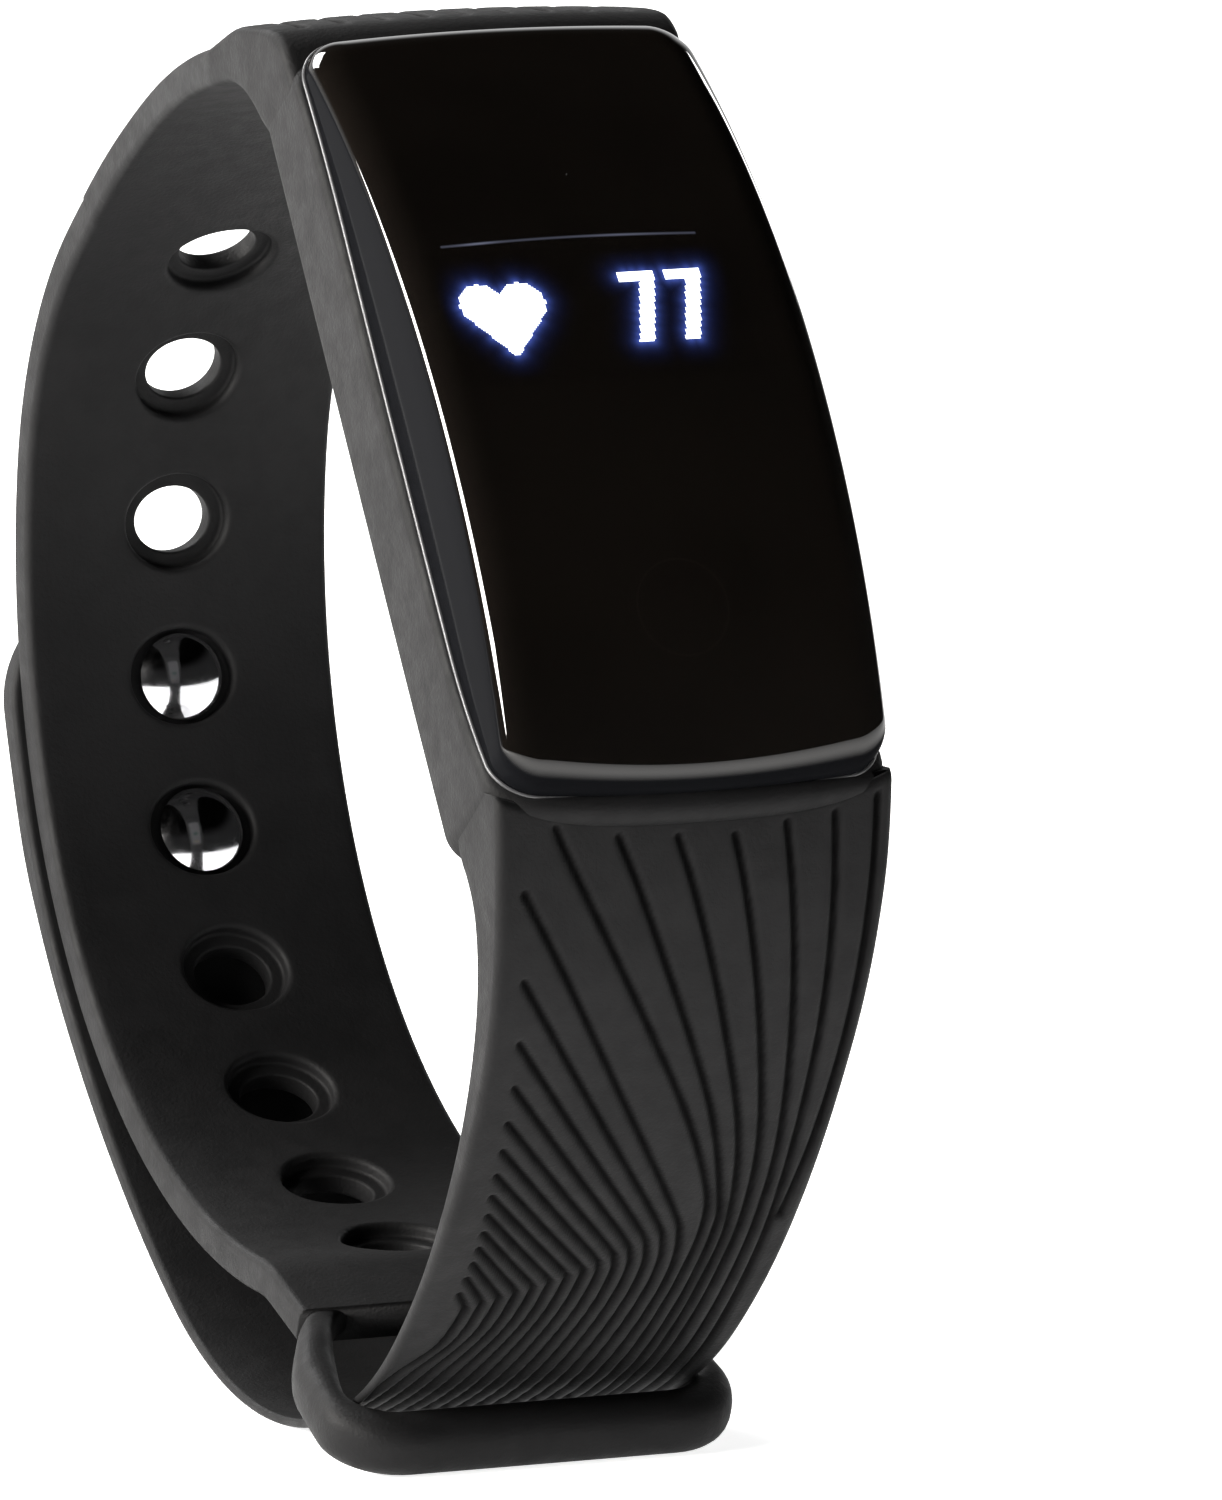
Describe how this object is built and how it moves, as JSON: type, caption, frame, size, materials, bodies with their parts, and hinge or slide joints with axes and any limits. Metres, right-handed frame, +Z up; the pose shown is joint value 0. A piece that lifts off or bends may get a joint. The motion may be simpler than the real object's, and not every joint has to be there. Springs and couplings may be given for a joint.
{
  "type": "fitness tracker band",
  "caption": "Slim wrist tracker with a curved black window in a rubber cradle, closed into a loop by a perforated strap, a strap loop and a stud clasp.",
  "frame": {"origin": "centre of the footprint, on the surface the closed band stands on", "axes": "+Z up; -Y towards the display side; +Y towards the clasp side; X across the band, along the forearm"},
  "size_m": [0.02, 0.0629, 0.0629],
  "materials": {
    "strap_rubber": "matte, fine grained",
    "clasp_metal": "polished",
    "window_glass": "gloss black",
    "case_plastic": "fine matte",
    "bond": "matte",
    "gasket_rubber": "matte",
    "sensor_glass": "gloss",
    "contact_gold": "bright",
    "board": "satin",
    "chip": "matte",
    "can_steel": "satin",
    "ceramic_chip": "matte",
    "panel_glass": "gloss",
    "flex_film": "satin",
    "electrode": "satin",
    "cell_foil": "satin",
    "foam": "matte",
    "weight_metal": "satin",
    "shield_plastic": "matte",
    "led_resin": "clear gloss",
    "diode_resin": "clear gloss"
  },
  "bodies": {
    "band": {"cradle_frame": "strap_rubber", "perforated_strap": "strap_rubber", "strap_loop": "strap_rubber", "ridged_strap": "strap_rubber"},
    "strap_end": {"ridged_strap_end": "strap_rubber", "clasp_plate": "clasp_metal", "clasp_stud_lower": "clasp_metal", "clasp_stud_upper": "clasp_metal"},
    "pod": {"display_window": "window_glass", "window_adhesive": "bond", "mid_frame": "case_plastic", "case_gasket": "gasket_rubber", "rear_case": "case_plastic", "sensor_window": "sensor_glass", "charge_contacts": "contact_gold", "main_board": "board", "main_chip": "chip", "motion_sensor": "chip", "clock_crystal": "can_steel", "charge_chip": "chip", "antenna": "ceramic_chip", "display_bracket": "case_plastic", "oled_panel": "panel_glass", "oled_flex": "flex_film", "touch_electrode": "electrode", "touch_spring": "contact_gold", "battery_cell": "cell_foil", "battery_pad": "foam", "motor_can": "can_steel", "sensor_board": "board", "light_shield": "shield_plastic", "green_leds": "led_resin", "photodiode": "diode_resin"},
    "rotor": {"motor_shaft": "can_steel", "motor_weight": "weight_metal"}
  },
  "joints": [
    {"name": "clasp_peel", "type": "hinge", "parent": "band", "child": "strap_end", "pos_m": [0, 0.01798, 0.00868], "axis": [-1, 0, 0], "range_deg": [0, 60], "stiffness_Nm_per_rad": 0.004, "springref_deg": -17.19},
    {"name": "pod_release", "type": "slide", "parent": "band", "child": "pod", "axis": [0, -0.808, 0.5892], "range_m": [0, 0.01]},
    {"name": "motor_spin", "type": "hinge", "parent": "pod", "child": "rotor", "pos_m": [0, -0.00963, 0.05673], "axis": [1, 0, 0], "continuous": true}
  ]
}
